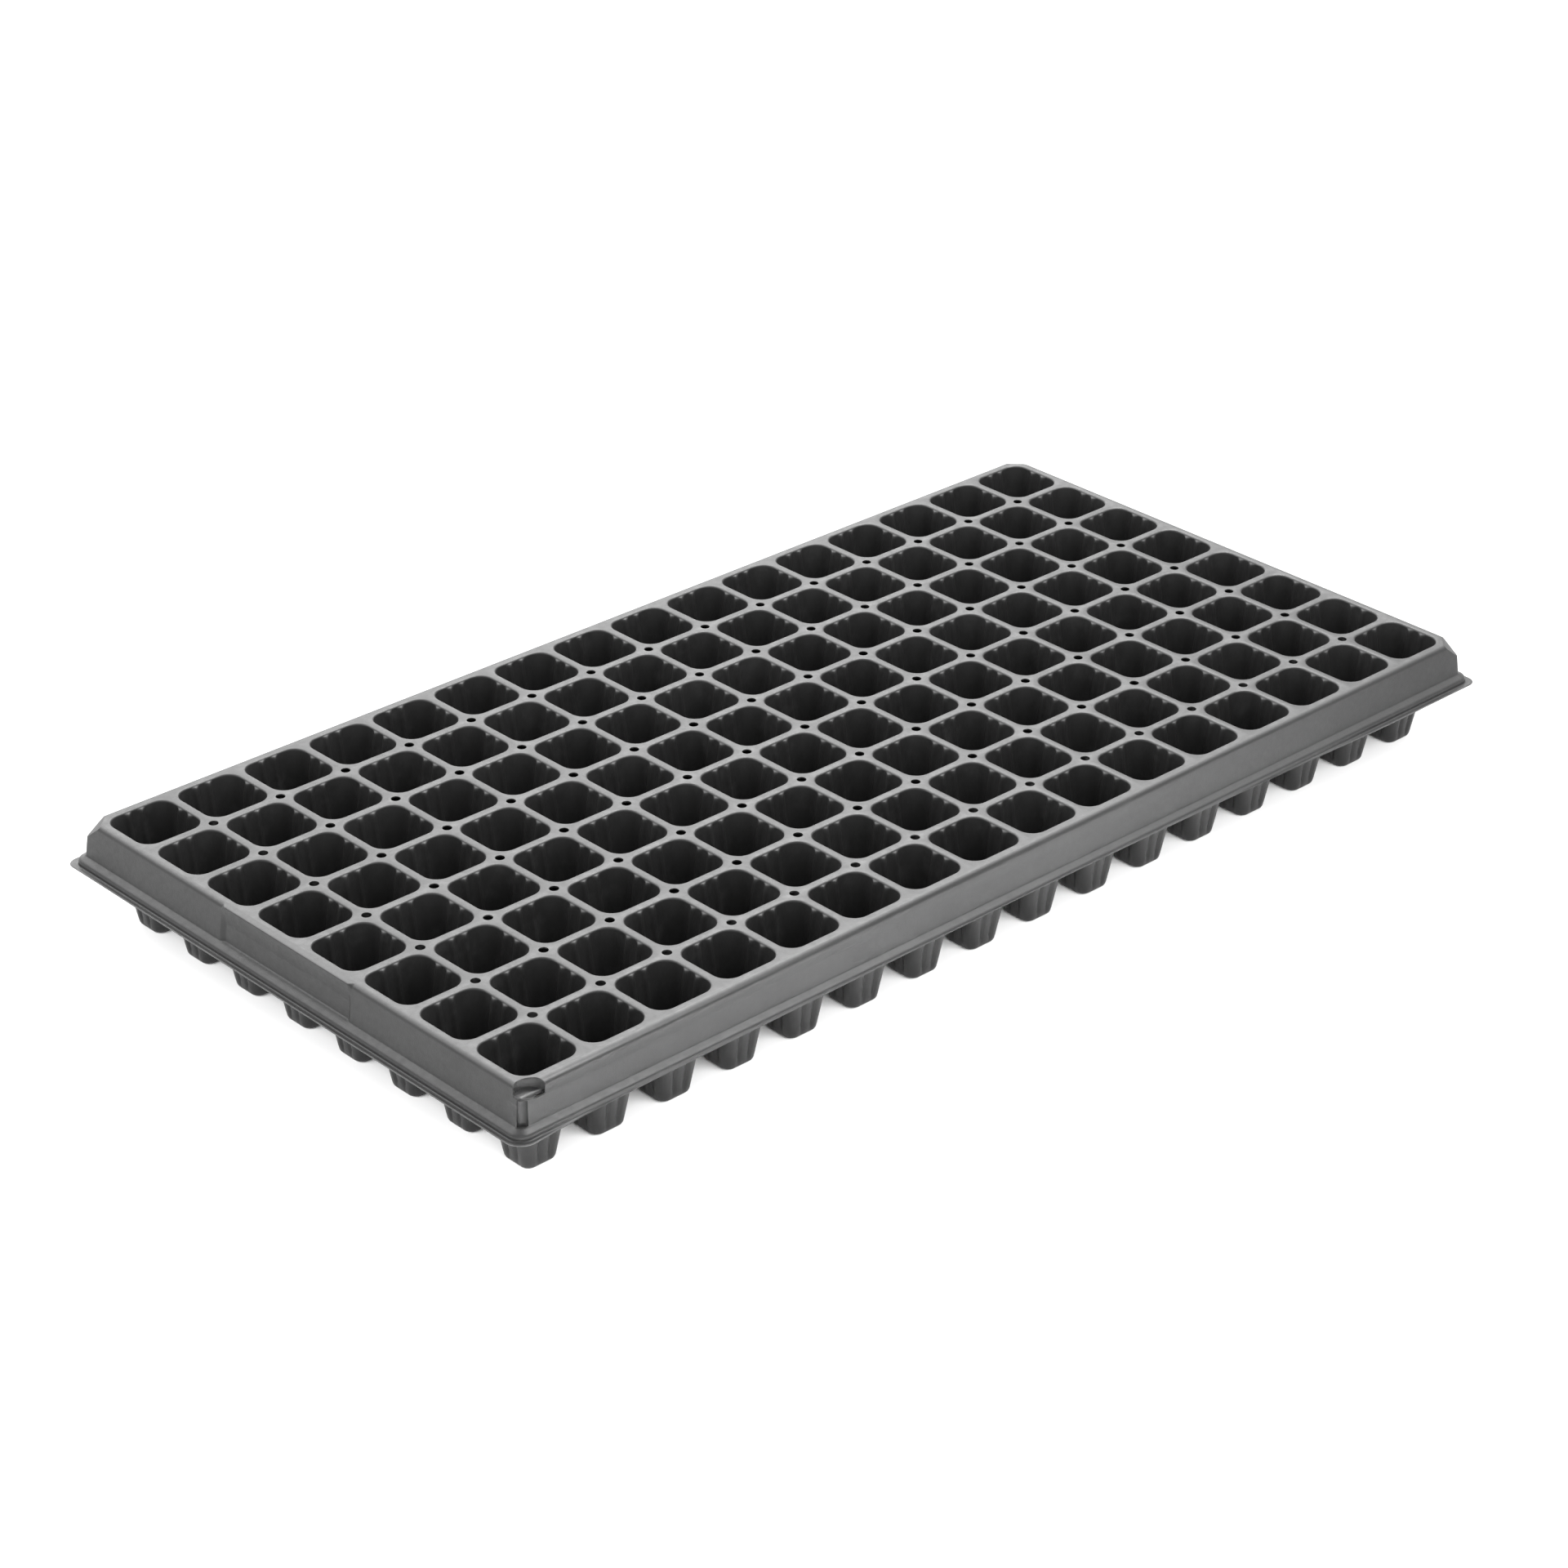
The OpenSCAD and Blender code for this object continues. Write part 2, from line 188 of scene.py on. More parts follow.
def rounding(p0, p1, p2, r, steps):
    """Points of the arc of radius r that rounds the corner p1 between p0 and p2."""
    p0, p1, p2 = (np.array(p, float) for p in (p0, p1, p2))
    u, v = (p0 - p1) / np.linalg.norm(p0 - p1), (p2 - p1) / np.linalg.norm(p2 - p1)
    half = math.acos(np.clip(u @ v, -1, 1)) / 2
    centre = p1 + (u + v) / np.linalg.norm(u + v) * r / math.sin(half)
    a = p1 + u * r / math.tan(half) - centre
    b = p1 + v * r / math.tan(half) - centre
    total = math.acos(np.clip(a @ b / r**2, -1, 1))
    return [tuple(centre + (math.sin((1 - t) * total) * a + math.sin(t * total) * b) / math.sin(total))
            for t in np.linspace(0, 1, steps + 1)]


def smooth_step(t):
    """Soft rise from 0 to 1."""
    return t * t * (3 - 2 * t)


# Cells

WALL_HALF = MOUTH_HALF + MOUTH_R * (1 - math.sin(math.radians(MOUTH_TURNS[-1])))
WALL_TOP = TOP - MOUTH_R * (1 - math.cos(math.radians(MOUTH_TURNS[-1])))


def four_sides(paths, z):
    """The points of four paths at height z, each path turned a quarter further than the one before."""
    turns = ((1, 0), (0, 1), (-1, 0), (0, -1))
    return np.array([(x * ca - y * sa, x * sa + y * ca, z)
                     for path, (ca, sa) in zip(paths, turns) for x, y in path])


def rib_scale(c):
    """How much closer the ribs stand where a straight side of half length c gets short near the foot."""
    return min(1.0, c / RIB_ROOM)


def side_offsets(c):
    """Places along a straight side of half length c, dense over the two ribs, without the last end."""
    ribs = [(RIB_AT + RIB_HALF * s) * rib_scale(c) for s in RIB_STEPS]
    end = ribs[-1]
    right = ribs + [end + (c - end) * t / SIDE_STEPS for t in range(1, SIDE_STEPS + 1)]
    left = [-x for x in reversed(right)]
    return np.array(left + [0.0] + right)[:-1]


def rib_height(offset):
    """Shape of a rib across the wall: a round crown that runs into the wall in a hollow."""
    t = np.abs(np.abs(offset) - RIB_AT) / RIB_HALF
    return np.where(t < 1, np.cos(np.pi / 2 * np.clip(t, 0, 1)) ** RIB_CROWN, 0.0)


def wall_size(z):
    """Half width, and half length of the straight sides, of a cell's drawn wall at height z."""
    t = (WALL_TOP - z) / (WALL_TOP - FOOT_TOP)
    return WALL_HALF + (FOOT_HALF - WALL_HALF) * t, MOUTH_C + (FOOT_C - MOUTH_C) * t


def wall_ring(half, c, z, rib):
    """Ring of a cell's inner face: flats at half, corners of radius half - c, ribs that stand in by rib."""
    offsets = side_offsets(c)
    flat = half - rib * rib_height(offsets / rib_scale(c))
    r = half - c
    turn = np.linspace(0, math.pi / 2, CELL_ARC_STEPS + 1)[:-1]
    arc = [(c + r * math.cos(a), c + r * math.sin(a)) for a in turn]
    return four_sides([list(zip(flat, offsets)) + arc] * 4, z)


def deck_path(cut):
    """Way along a side of a cell's square of deck and round a corner with a cut, or with a vent if None."""
    h = PITCH / 2
    path = [(h, o) for o in side_offsets(MOUTH_C)]
    if cut is None:
        middle = (MOUTH_C + h - VENT_R) / 2
        turn = np.linspace(-math.pi / 2, -math.pi, VENT_POINTS)
        arc = [(h + VENT_R * math.cos(a), h + VENT_R * math.sin(a)) for a in turn]
        return path + [(h, MOUTH_C), (h, middle)] + arc + [(middle, h)]
    low = h - cut
    path += steps_between((h, MOUTH_C), (h, low), SIDE_STEPS)
    path += steps_between((h, low), (low, h), CUT_STEPS)
    return path + steps_between((low, h), (MOUTH_C, h), SIDE_STEPS)


def cell_rings():
    """The rings of a cell below the deck, from the rounded mouth to the drain hole."""
    rings = []
    for a in np.radians(MOUTH_TURNS):
        half, z = MOUTH_HALF + MOUTH_R * (1 - math.sin(a)), TOP - MOUTH_R * (1 - math.cos(a))
        rings.append(wall_ring(half, MOUTH_C, z, 0))
    for drop, share in RIB_LEVELS:
        half, c = wall_size(WALL_TOP - drop)
        rings.append(wall_ring(half, c, WALL_TOP - drop, RIB_RISE * share))
    rings += [wall_ring(half, c, z, 0) for half, c, z in FOOT_RINGS]
    angle = np.arctan2(rings[-1][:, 1], rings[-1][:, 0])
    rings.append(np.c_[DRAIN_R * np.cos(angle), DRAIN_R * np.sin(angle), np.full(len(angle), CELL_SHEET)])
    return rings


BELOW_DECK = cell_rings()
COUNT = len(BELOW_DECK[0])
SPREAD = (SKIRT_FOOT - DECK_MARGIN) / -SKIRT_END
BEVEL_SLOPE = math.atan2(BEVEL_DROP, BEVEL_IN + CORNER_C * math.sqrt(2) + DECK_MARGIN + SPREAD * BEVEL_DROP
                         - CORNER_C)
BEVEL_START = BEVEL_IN + BEVEL_R * math.tan(BEVEL_SLOPE / 2)


def cut_leg(diagonal):
    """Length that a cut across the diagonal takes from both sides of a square corner."""
    return diagonal * math.sqrt(2)


def corner_cuts(i, j):
    """What is cut off at each corner of cell i, j, counted round from +X +Y, or None where a vent lies."""
    cuts = []
    for sx, sy in ((1, 1), (-1, 1), (-1, -1), (1, -1)):
        on_x = i == (COLUMNS - 1 if sx > 0 else 0)
        on_y = j == (ROWS - 1 if sy > 0 else 0)
        if on_x and on_y:
            cuts.append(cut_leg(SEAT_CUT if (sx, sy) == SEAT_CORNER else BEVEL_START))
        else:
            cuts.append(0.0 if on_x or on_y else None)
    return cuts


def cell_row(j):
    """One row of cells along the tray as a single formed sheet."""
    verts, faces = [], []
    for i in range(COLUMNS):
        at = np.array([(i + 0.5) * PITCH - FIELD_X, (j + 0.5) * PITCH - FIELD_Y, 0])
        deck = four_sides([deck_path(cut) for cut in corner_cuts(i, j)], TOP)
        rings = [deck] + BELOW_DECK
        verts.append(np.vstack(rings) + at)
        faces += loop_faces(len(rings), COUNT, i * len(rings) * COUNT)
    return new_object(f"cell_row_{j + 1}", np.vstack(verts), faces)


# Rim

def skirt_out(z):
    """How far the skirt's face lies out at a level."""
    return DECK_MARGIN - SPREAD * z


# Section of the rim from the field of cells outward, as (out, level)
DECK = [(0.0, 0.0), (DECK_HOLD, 0.0)]
EDGE = rounding((0, 0), (DECK_MARGIN, 0), (SKIRT_FOOT, SKIRT_END), UPPER_R, UPPER_STEPS)
SKIRT = [(skirt_out(z), z) for z in SKIRT_LEVELS]
FILLET = rounding((LIP_OUT, SKIRT_END), (LIP_OUT, FLANGE), (RIM_OUT, FLANGE), FILLET_R, FILLET_STEPS)
FLAT = [(FLANGE_FLAT, FLANGE), (RIM_OUT - TURN_IN, FLANGE), (RIM_OUT, FLANGE - TURN_DOWN)]
SECTION = DECK + EDGE + SKIRT + HOLLOW + LEDGE + CROWN + LIP + FILLET + FLAT

# Numbers of the points where stretches of the section begin
EDGE_FROM = len(DECK)
SKIRT_FROM = EDGE_FROM + len(EDGE)
HOLLOW_FROM = SKIRT_FROM + len(SKIRT)
LEDGE_FROM = HOLLOW_FROM + len(HOLLOW)
LIP_FROM = LEDGE_FROM + len(LEDGE) + len(CROWN) // 2

# Places of the section along the sides, between the corners
FRONT_X = np.linspace(-FIELD_X + CORNER_LEN, FIELD_X - CORNER_LEN, FRONT_POINTS)[1:-1]
RIGHT_Y = np.linspace(-FIELD_Y + CORNER_LEN, FIELD_Y - CORNER_LEN, RIGHT_POINTS)[1:-1]
CHEEKS = [a + (b - a) * t for a, b in (PANEL_ENDS[:2], PANEL_ENDS[2:]) for t in CHEEK_STEPS]
LEFT_Y = sorted(CHEEKS + [y for stretch in LEFT_STRETCHES for y in np.linspace(*stretch)], reverse=True)


def arc_curve(d, c):
    """Way round a corner whose sides lie at d and whose arc has its centre at c both ways."""
    r = max(0.0, d - c)
    c = min(c, d)
    lead = steps_between((-CORNER_LEN, d), (c, d), LEAD_STEPS)
    turn = np.linspace(0, math.pi / 2, TIP_STEPS + 1)
    arc = [(c + r * math.sin(a), c + r * math.cos(a)) for a in turn]
    return lead + arc + [(q, p) for p, q in reversed(lead)]


def tip_of(d):
    """Reach of a round corner along the diagonal where its sides lie at d."""
    return min(d, CORNER_C) * math.sqrt(2) + max(0.0, d - CORNER_C)


def groove_curve(d):
    """Way round the front left corner with a half round groove for a tip, set toward the front side."""
    tip = tip_of(d) / math.sqrt(2)
    p0, q0 = tip + GROOVE_SHIFT, tip - GROOVE_SHIFT
    left = p0 - math.sqrt(GROOVE_R**2 - (d - q0) ** 2)
    front = q0 - math.sqrt(GROOVE_R**2 - (d - p0) ** 2)
    start = math.atan2(d - q0, left - p0)
    stop = 2 * math.pi + math.atan2(front - q0, d - p0)
    turn = np.linspace(start, stop, TIP_STEPS + 1)
    arc = [(p0 + GROOVE_R * math.cos(a), q0 + GROOVE_R * math.sin(a)) for a in turn]
    lead = steps_between((-CORNER_LEN, d), (left, d), LEAD_STEPS)
    tail = steps_between((d, -CORNER_LEN), (d, front), LEAD_STEPS)
    return lead + arc + tail[::-1]


def corner_curve(d, z, seat):
    """Points of one ring round a corner."""
    if seat and GROOVE_END < z < GROOVE_TOP:
        return groove_curve(d)
    if d >= FLANGE_FLAT and not seat:
        return arc_curve(d, d - np.interp(d, (LIP_OUT, RIM_OUT), (LIP_OUT - CORNER_C, FLANGE_CORNER_R)))
    return arc_curve(d, CORNER_C)


def panel_share(y):
    """How far the left side is formed as the label panel at y, from 0 to 1, with slanted ends."""
    t = np.interp(y, PANEL_ENDS, (0, 1, 1, 0))
    return (1 - CHEEK_SOFT) * t + CHEEK_SOFT * smooth_step(t)


def left_place(k, y):
    """Out and level of ring k on the left side at y, with its label panel, which lies a little deeper."""
    d, z = SECTION[k]
    if k < EDGE_FROM or k >= LEDGE_FROM:
        return d, z
    if k < SKIRT_FROM:
        panel = PANEL_EDGE[k - EDGE_FROM]
    else:
        face = max(PANEL_TOP + PANEL_LEAN * z, skirt_out(z) - PANEL_SINK)
        panel = (d + (face - d) * min(1.0, (LEDGE_FROM - k) / len(HOLLOW)), z)
    share = panel_share(y)
    return d + share * (panel[0] - d), z + share * (panel[1] - z)


def front_place(k, x):
    """Out and level of ring k on the front side at x, with its shoulder and its folded flange."""
    d, z = SECTION[k]
    if k < len(SHOULDER):
        share = np.interp(x, SHOULDER_X, SHOULDER_SHARE)
        d, z = d + share * (SHOULDER[k][0] - d), z + share * (SHOULDER[k][1] - z)
    if k > LIP_FROM:
        t = (k - LIP_FROM) / (len(SECTION) - 1 - LIP_FROM)
        lip_d, lip_z = SECTION[LIP_FROM]
        lip_d += LIP_BULGE * (1 - (1 - t) ** 2)
        lip_z += (np.interp(x, FOLD_X, LIP_END) - lip_z) * t
        share = np.interp(x, FOLD_X, FLANGE_SHARE)
        d, z = lip_d + share * (d - lip_d), lip_z + share * (z - lip_z)
    return d, z


def rim_ring(k):
    """Point k of the section, taken once round the tray from the front left."""
    d, z = SECTION[k]
    pts = []
    for x in FRONT_X:
        out, level = front_place(k, x)
        pts.append((x, -(FIELD_Y + out), TOP + level))
    plain, seat = corner_curve(d, z, False), corner_curve(d, z, True)
    pts += [(FIELD_X + p, -(FIELD_Y + q), TOP + z) for p, q in plain]
    pts += [(FIELD_X + d, y, TOP + z) for y in RIGHT_Y]
    pts += [(FIELD_X + q, FIELD_Y + p, TOP + z) for p, q in plain]
    pts += [(x, FIELD_Y + d, TOP + z) for x in reversed(FRONT_X)]
    pts += [(-(FIELD_X + p), FIELD_Y + q, TOP + z) for p, q in plain]
    for y in LEFT_Y:
        out, level = left_place(k, y)
        pts.append((-(FIELD_X + out), y, TOP + level))
    for n, (p, q) in enumerate(seat):
        at_front = n >= len(seat) - LEAD_STEPS
        out, level = front_place(k, -FIELD_X - q) if at_front else (p, z)
        pts.append((-(FIELD_X + q), -(FIELD_Y + out), TOP + level))
    return np.array(pts)


def field_corner(sx, sy):
    """Corner of the field of cells on the deck, in metres."""
    return Vector((sx * FIELD_X, sy * FIELD_Y, TOP)) * MM


def near_corner(bm, at):
    """Faces, edges and points of the rim round one corner."""
    verts = [v for v in bm.verts if max(abs(v.co.x - at.x), abs(v.co.y - at.y)) < CORNER_REACH * MM]
    picked = set(verts)
    edges = [e for e in bm.edges if e.verts[0] in picked and e.verts[1] in picked]
    faces = [f for f in bm.faces if all(v in picked for v in f.verts)]
    return verts + edges + faces


def open_edges(bm, at, normal):
    """Open edges round a corner that lie in the plane through at."""
    found = []
    for e in bm.edges:
        a, b = (v.co - at for v in e.verts)
        flat = max(abs(a.dot(normal)), abs(b.dot(normal))) < 10 * SAME
        close = max(abs(a.x), abs(a.y), abs(b.x), abs(b.y)) < CORNER_REACH * MM
        if flat and close and len(e.link_faces) == 1:
            found.append(e)
    return found


def close_face(bm, edges):
    """Fills a ring of edges that has one gap with a face, and gives the new edge that closes the gap."""
    count = {}
    for e in edges:
        for v in e.verts:
            count[v] = count.get(v, 0) + 1
    ends = [v for v, n in count.items() if n == 1]
    new = bm.edges.get(ends) or bm.edges.new(ends)
    bmesh.ops.contextual_create(bm, geom=edges + [new])
    return new


def cut_bevel(bm, sx, sy):
    """Cuts a corner of the rim off along a sloping plane and closes it with a flat plate."""
    corner, out = field_corner(sx, sy), Vector((sx, sy, 0)).normalized()
    at = corner - out * BEVEL_IN * MM
    normal = (out * math.sin(BEVEL_SLOPE) + Vector((0, 0, math.cos(BEVEL_SLOPE)))).normalized()
    bmesh.ops.bisect_plane(bm, geom=near_corner(bm, corner), dist=SAME, plane_co=at, plane_no=normal,
                           clear_outer=True)
    rim_edges = open_edges(bm, at, normal)
    top = close_face(bm, rim_edges)
    # A narrow strip of deck joins the plate to the corner cell
    a, b = top.verts
    along = (a.co - b.co).normalized()
    strip = (BEVEL_START - BEVEL_IN) * MM
    c = bm.verts.new(b.co - (out + along) * strip)
    d = bm.verts.new(a.co - (out - along) * strip)
    bm.faces.new((a, b, c, d))
    bmesh.ops.recalc_face_normals(bm, faces=bm.faces)
    bmesh.ops.bevel(bm, geom=rim_edges + [top], offset=BEVEL_SOFT * MM, offset_type="OFFSET",
                    segments=BEVEL_SEGMENTS, profile=0.5, affect="EDGES", clamp_overlap=True)


SEAT_FIELD = field_corner(*SEAT_CORNER)
SEAT_AT = SEAT_FIELD + Vector((SEAT_X, -SEAT_Y, 0)) * MM


def from_seat(v):
    """Distance of a point from the seat's axis."""
    return math.hypot(v.co.x - SEAT_AT.x, v.co.y - SEAT_AT.y) / MM


def seat_patch(bm):
    """Closes the corner of the deck that the front left cell leaves open, as far as the cut across it."""
    leg = cut_leg(SEAT_CUT) * MM

    def on_leg(side, way):
        return abs(side) < SAME and -SAME < way < leg + SAME

    ring = []
    for v in bm.verts:
        x, y, z = v.co - SEAT_FIELD
        if abs(z) < SAME and (on_leg(x, y) or on_leg(y, x)):
            ring.append(v)
    bm.faces.new(sorted(ring, key=lambda v: (v.co.x - SEAT_FIELD.x) - (v.co.y - SEAT_FIELD.y)))


def refine_seat(bm):
    """Cuts the faces round the seat small enough for its wall."""
    def near(e, width):
        middle = (e.verts[0].co.z + e.verts[1].co.z) / 2
        rho = [from_seat(v) for v in e.verts]
        at_wall = min(rho) < SEAT_R + width and max(rho) > SEAT_R - SEAT_WALL - width
        return at_wall and middle >= SEAT_FIELD.z + SEAT_FINE * MM

    for limit, width in SEAT_PASSES:
        for _ in range(SEAT_TRIES):
            edges = [e for e in bm.edges if e.calc_length() > limit * MM and near(e, width)]
            if not edges:
                break
            bmesh.ops.subdivide_edges(bm, edges=edges, cuts=1, use_grid_fill=True)
            bmesh.ops.triangulate(bm, faces=[f for f in bm.faces if len(f.verts) > 4])


def seat_floor(left, front):
    """Level of the seat's floor left and front of the field's corner, with its round front edge."""
    beyond = math.hypot(max(left - CORNER_C, 0), max(front - CORNER_C, 0))
    reach = CORNER_C + beyond if beyond > 0 else max(left, front)
    r = np.interp(left, SEAT_LIP_AT, SEAT_LIP_R)
    inside = np.clip(skirt_out(-SEAT_DROP) - reach, 0, r)
    return -SEAT_DROP - r + math.sqrt(r * r - (r - inside) ** 2)


def sink_seat(bm):
    """Sinks the round seat into the front left corner, with a soft wall and a lip where its floor ends."""
    for v in bm.verts:
        rho, level = from_seat(v), (v.co.z - SEAT_FIELD.z) / MM
        if rho > SEAT_R or level < SEAT_END:
            continue
        share = smooth_step(np.clip((SEAT_R - rho) / SEAT_WALL, 0, 1))
        ground = seat_floor((SEAT_FIELD.x - v.co.x) / MM, (SEAT_FIELD.y - v.co.y) / MM)
        over = level - ground
        sunk = ground + (over - math.sqrt(over * over + SEAT_SOFT)) / 2
        v.co.z = SEAT_FIELD.z + (level + (sunk - level) * share) * MM


def make_rim():
    """Deck margin, skirt, ledge, lip and flange with cut corners and the seat, as one formed sheet."""
    rings = [rim_ring(k) for k in range(len(SECTION))]
    obj = new_object("rim", np.vstack(rings), loop_faces(len(rings), len(rings[0])))
    bm = bmesh.new()
    bm.from_mesh(obj.data)
    for sx, sy in BEVEL_CORNERS:
        cut_bevel(bm, sx, sy)
    seat_patch(bm)
    refine_seat(bm)
    sink_seat(bm)
    bmesh.ops.recalc_face_normals(bm, faces=bm.faces)
    for f in bm.faces:
        f.smooth = True
    bm.to_mesh(obj.data)
    bm.free()
    return obj


# Sheet and material

def turn_up(obj):
    """Turns the faces so that the deck's normals point up."""
    deck = [p for p in obj.data.polygons if abs(p.normal.z) > 0.99 and p.center.z > (TOP - 1) * MM]
    if sum(p.normal.z * p.area for p in deck) < 0:
        obj.data.flip_normals()


def thicken(obj, thickness):
    """Turns the surface into sheet below it, as plain mesh whose edges are sharp above the crease angle."""
    sheet = obj.modifiers.new("sheet", "SOLIDIFY")
    sheet.thickness = thickness * MM
    sheet.offset = -1
    sheet.use_even_offset = False
    sheet.use_quality_normals = True
    sheet.thickness_clamp = 0
    mesh = bpy.data.meshes.new_from_object(obj.evaluated_get(bpy.context.evaluated_depsgraph_get()))
    obj.modifiers.clear()
    obj.data = mesh
    mesh.set_sharp_from_angle(angle=math.radians(CREASE))


def plastic_material():
    """Black plastic with clouded colour, pale rubbed edges, thin dust in patches and a fine grain."""
    material = bpy.data.materials.new("black_plastic")
    material.use_nodes = True
    nodes, link = material.node_tree.nodes, material.node_tree.links
    bsdf = nodes["Principled BSDF"]
    bsdf.inputs["Specular IOR Level"].default_value = 0.36
    coord = nodes.new("ShaderNodeTexCoord")

    def noise(scale, detail, rough):
        texture = nodes.new("ShaderNodeTexNoise")
        texture.inputs["Scale"].default_value = scale
        texture.inputs["Detail"].default_value = detail
        texture.inputs["Roughness"].default_value = rough
        link.new(coord.outputs["Object"], texture.inputs["Vector"])
        return texture.outputs["Fac"]

    def ramp(source, start, stop):
        """Grey that goes from one (place, value) to another."""
        colours = nodes.new("ShaderNodeValToRGB")
        for element, (at, value) in zip(colours.color_ramp.elements, (start, stop)):
            element.position = at
            element.color = (value, value, value, 1)
        link.new(source, colours.inputs["Fac"])
        return colours.outputs["Color"]

    def blend(a, grey, factor):
        """Mix of a colour and a plain grey."""
        mix = nodes.new("ShaderNodeMix")
        mix.data_type = "RGBA"
        link.new(a, mix.inputs["A"])
        mix.inputs["B"].default_value = (grey, grey, grey, 1)
        link.new(factor, mix.inputs["Factor"])
        return mix.outputs["Result"]

    def times(a, b):
        product = nodes.new("ShaderNodeMath")
        product.operation = "MULTIPLY"
        link.new(a, product.inputs[0])
        link.new(b, product.inputs[1])
        return product.outputs["Value"]

    cloud = ramp(noise(26, 4, 0.6), (0.3, 0.007), (0.7, 0.012))
    dust = ramp(noise(75, 5, 0.7), (0.55, 0.0), (0.85, 0.5))
    edge = ramp(nodes.new("ShaderNodeNewGeometry").outputs["Pointiness"], (0.53, 0.0), (0.62, 1.0))
    rubbed = ramp(noise(160, 3, 0.6), (0.42, 0.0), (0.68, 0.7))
    link.new(blend(blend(cloud, 0.03, dust), 0.06, times(edge, rubbed)), bsdf.inputs["Base Color"])
    rough = ramp(noise(420, 4, 0.6), (0.25, 0.38), (0.75, 0.50))
    link.new(blend(rough, 0.6, dust), bsdf.inputs["Roughness"])
    bump = nodes.new("ShaderNodeBump")
    bump.inputs["Strength"].default_value = 0.2
    bump.inputs["Distance"].default_value = 0.0002
    link.new(noise(1500, 3, 0.65), bump.inputs["Height"])
    link.new(bump.outputs["Normal"], bsdf.inputs["Normal"])
    return material


plastic = plastic_material()
CELL_NODES = [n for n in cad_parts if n.startswith(("cell_", "deck_"))]
RIM_NODES = [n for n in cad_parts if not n.startswith(("cell_", "deck_"))]


def dress(obj, thickness, nodes):
    """Makes a surface into a finished piece that stands for nodes of the construction."""
    turn_up(obj)
    thicken(obj, thickness)
    obj.data.materials.append(plastic)
    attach(obj, "root")
    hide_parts(*nodes)


for row in range(ROWS):
    dress(cell_row(row), CELL_SHEET, CELL_NODES)
dress(make_rim(), RIM_SHEET, RIM_NODES)

# Floor and light, in metres and watts

FLOOR_SIZE, FLOOR_AT = 14, (0, 1.5, 0)
FLOOR_GREY, FLOOR_ROUGH, SKY = 0.88, 0.9, 1.5
TRAY_AT = (0, 0, 0.03)
# Spread of a light
WIDE, NARROW = math.pi, math.radians(40)

bpy.ops.mesh.primitive_plane_add(size=FLOOR_SIZE, location=FLOOR_AT)
floor = bpy.context.object
floor.name = "floor"
pale = bpy.data.materials.new("floor_white")
pale.use_nodes = True
pale_inputs = pale.node_tree.nodes["Principled BSDF"].inputs
pale_inputs["Base Color"].default_value = (FLOOR_GREY, FLOOR_GREY, FLOOR_GREY, 1)
pale_inputs["Roughness"].default_value = FLOOR_ROUGH
floor.data.materials.append(pale)

scene = bpy.context.scene
scene.view_settings.view_transform = "Standard"
scene.world = bpy.data.worlds.new("studio")
scene.world.use_nodes = True
sky = scene.world.node_tree.nodes["Background"].inputs
sky["Color"].default_value = (1, 1, 1, 1)
sky["Strength"].default_value = SKY


def area_light(name, at, target, size, power, spread, receivers):
    """A soft rectangular light that shines on the receivers alone and isn't seen itself."""
    data = bpy.data.lights.new(name, "AREA")
    data.shape = "RECTANGLE"
    data.size, data.size_y = size
    data.energy = power
    data.spread = spread
    obj = bpy.data.objects.new(name, data)
    scene.collection.objects.link(obj)
    obj.location = at
    obj.rotation_euler = (Vector(target) - Vector(at)).to_track_quat("-Z", "Y").to_euler()
    obj.light_linking.receiver_collection = receivers
    obj.visible_camera = False


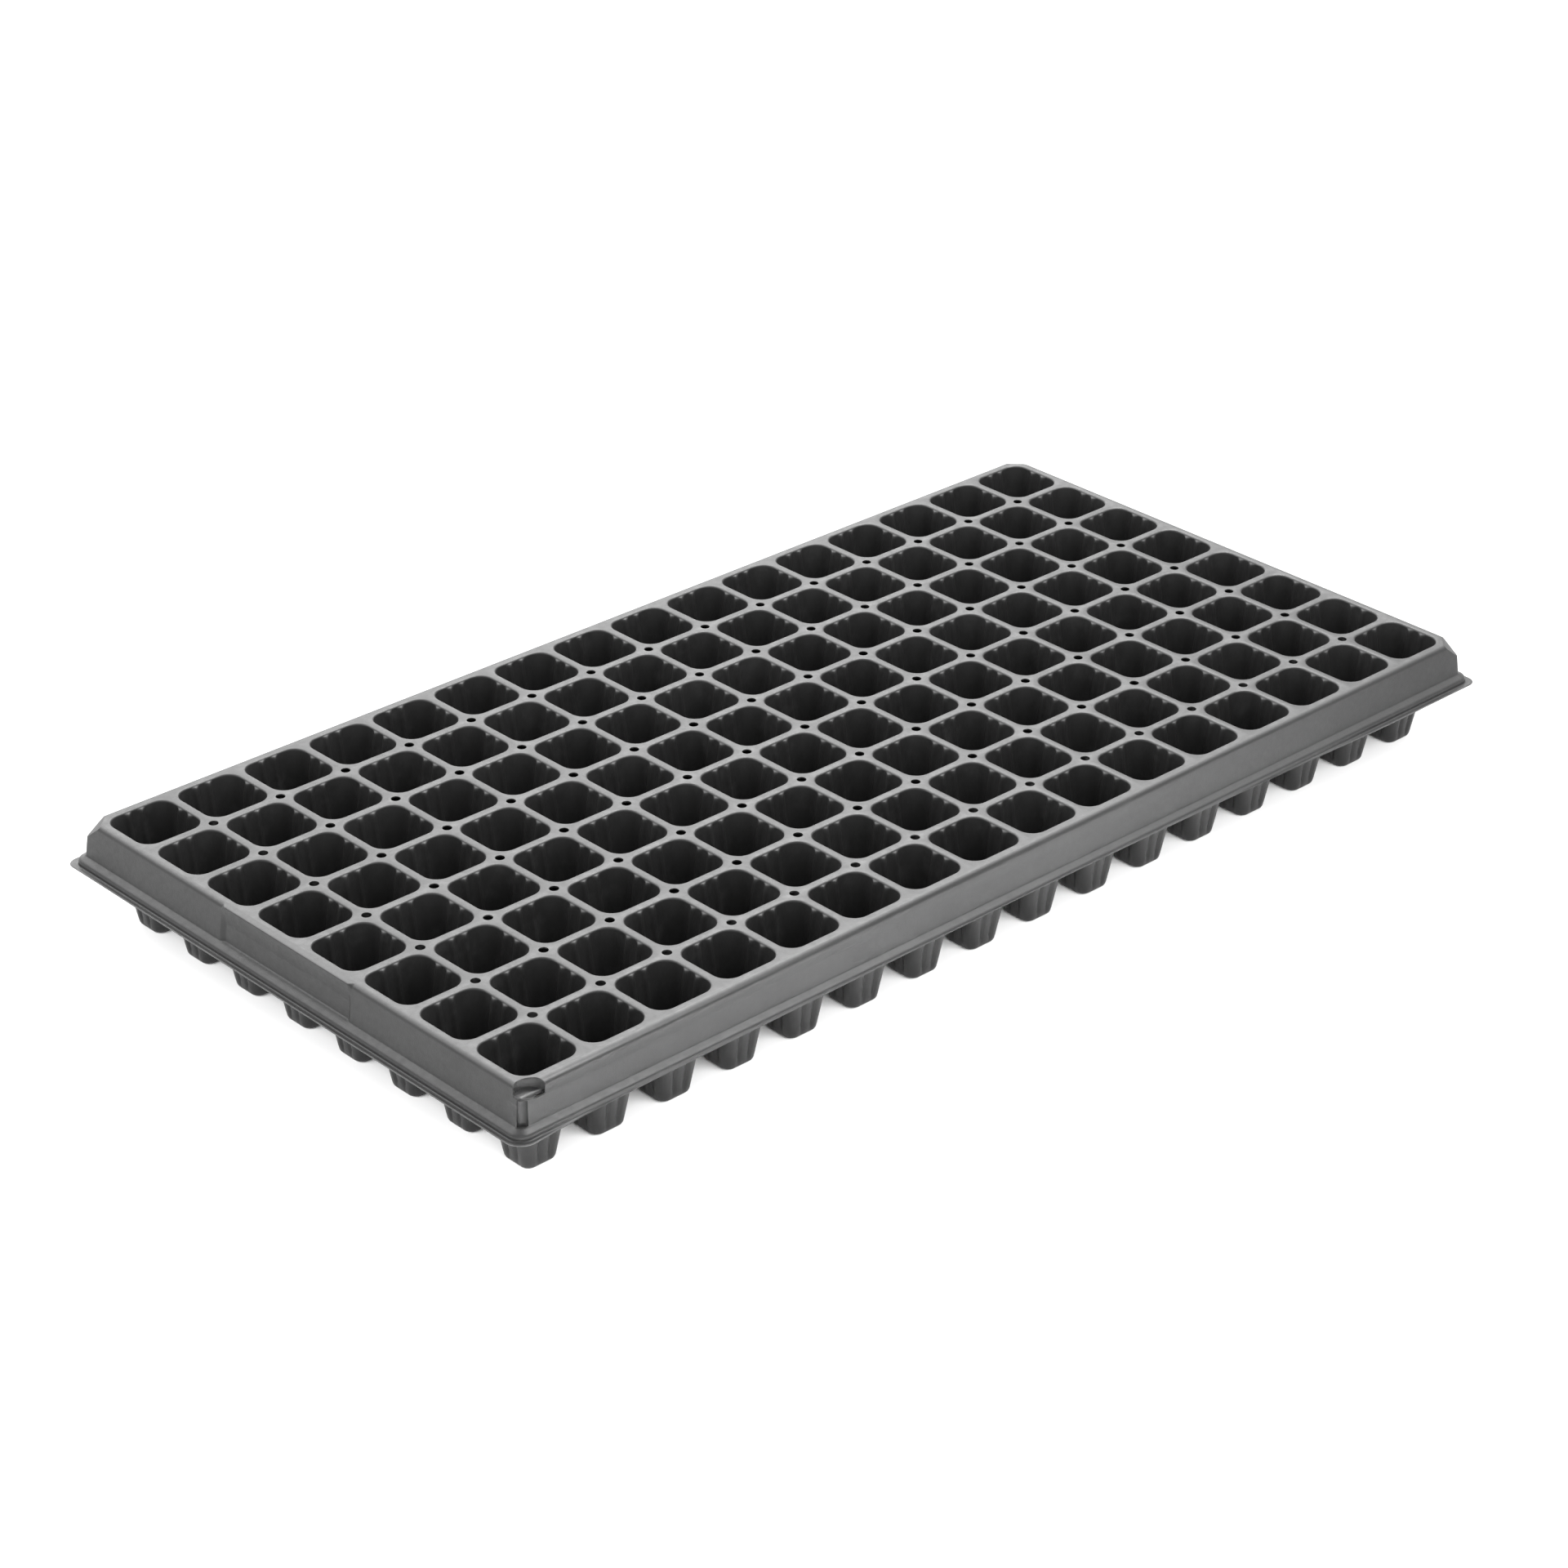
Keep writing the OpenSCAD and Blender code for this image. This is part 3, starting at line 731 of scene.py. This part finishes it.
# The soft lights of the tray leave the floor out, and the floor has its own, strongest in front of the tray
floor_only, floor_out = (bpy.data.collections.new(name) for name in ("floor_only", "floor_out"))
for group in (floor_only, floor_out):
    group.objects.link(floor)
floor_out.collection_objects[0].light_linking.link_state = "EXCLUDE"
for light in (
        ("key_soft", (1.35, -0.2, 2.68), TRAY_AT, (4.0, 1.2), 225, WIDE, floor_out),
        ("edge_soft", (1.45, 1.15, 2.15), TRAY_AT, (1.3, 1.3), 38, WIDE, floor_out),
        ("back_soft", (1.2, 2.6, 1.35), TRAY_AT, (2.8, 2.2), 58, WIDE, floor_out),
        ("top_soft", (-0.7, 1.9, 2.2), TRAY_AT, (3.6, 2.0), 108, WIDE, floor_out),
        ("front_fill", (-0.12, -0.8, 0.5), (-0.12, -0.3, 0), (1.0, 0.4), 12, WIDE, floor_only),
        ("front_patch", (-0.12, -0.31, 0.5), (-0.12, -0.31, 0), (0.7, 0.14), 2.9, NARROW, floor_only),
        ("left_fill", (-0.9, -0.1, 0.5), (-0.4, -0.1, 0), (0.8, 0.4), 9, WIDE, floor_only)):
    area_light(*light)

# Camera, solved from the grid of vent holes: place in metres, turns, and lengths in the photo's pixels

CAMERA_AT = Vector((-0.99828, -1.05112, 0.8015))
AZIMUTH, ELEVATION, ROLL = (math.radians(a) for a in (-44.28, 28.35, 0.801))
PHOTO_PX, FOCAL_PX, CENTRE_PX = 1920, 4847.64, 1041.388
SENSOR = 36

back = Vector((math.sin(AZIMUTH) * math.cos(ELEVATION), -math.cos(AZIMUTH) * math.cos(ELEVATION),
               math.sin(ELEVATION)))
level_right = Vector((0, 0, 1)).cross(back).normalized()
level_up = back.cross(level_right)
right = level_right * math.cos(ROLL) + level_up * math.sin(ROLL)
up = level_up * math.cos(ROLL) - level_right * math.sin(ROLL)
camera_data = bpy.data.cameras.new("camera")
camera_data.sensor_width = SENSOR
camera_data.lens = FOCAL_PX / PHOTO_PX * SENSOR
camera_data.shift_x = (PHOTO_PX / 2 - CENTRE_PX) / PHOTO_PX
camera = bpy.data.objects.new("camera", camera_data)
scene.collection.objects.link(camera)
camera.matrix_world = Matrix.Translation(CAMERA_AT) @ Matrix((right, up, back)).transposed().to_4x4()
scene.camera = camera
